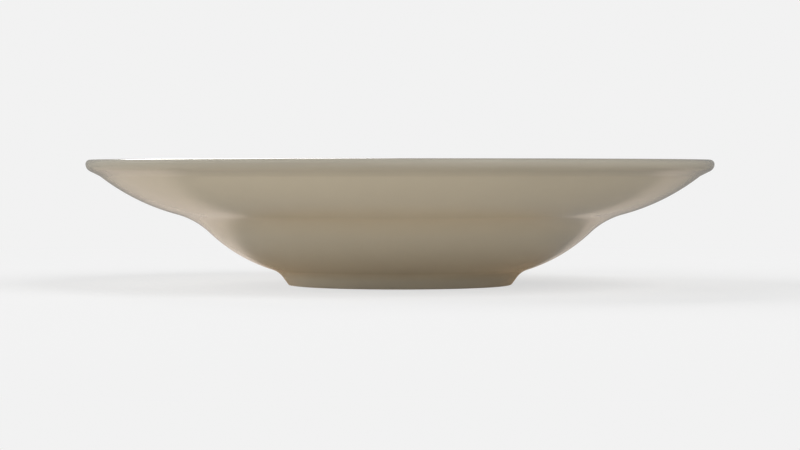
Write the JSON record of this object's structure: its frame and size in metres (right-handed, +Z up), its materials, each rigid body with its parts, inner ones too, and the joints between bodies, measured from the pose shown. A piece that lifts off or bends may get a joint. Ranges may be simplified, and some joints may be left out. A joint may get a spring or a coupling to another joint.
{
  "type": "pasta bowl",
  "caption": "Wide shallow pasta bowl of glazed ceramic: a deep well, a broad stepped flange, a small rolled lip and a low foot ring with a bare standing face.",
  "frame": {"origin": "centre of the foot ring, on the face that the bowl stands on", "axes": "+Z up along the axis of the bowl, +X and +Y level; the bowl is the same all round"},
  "size_m": [0.28, 0.28, 0.056],
  "materials": {
    "fired_clay": "matt, fine grained, unglazed",
    "taupe_glaze": "smooth, semi-gloss, opaque"
  },
  "bodies": {
    "root": {"clay_body": "fired_clay", "outside_glaze": "taupe_glaze", "inside_glaze": "taupe_glaze", "base_glaze": "taupe_glaze"}
  },
  "joints": []
}
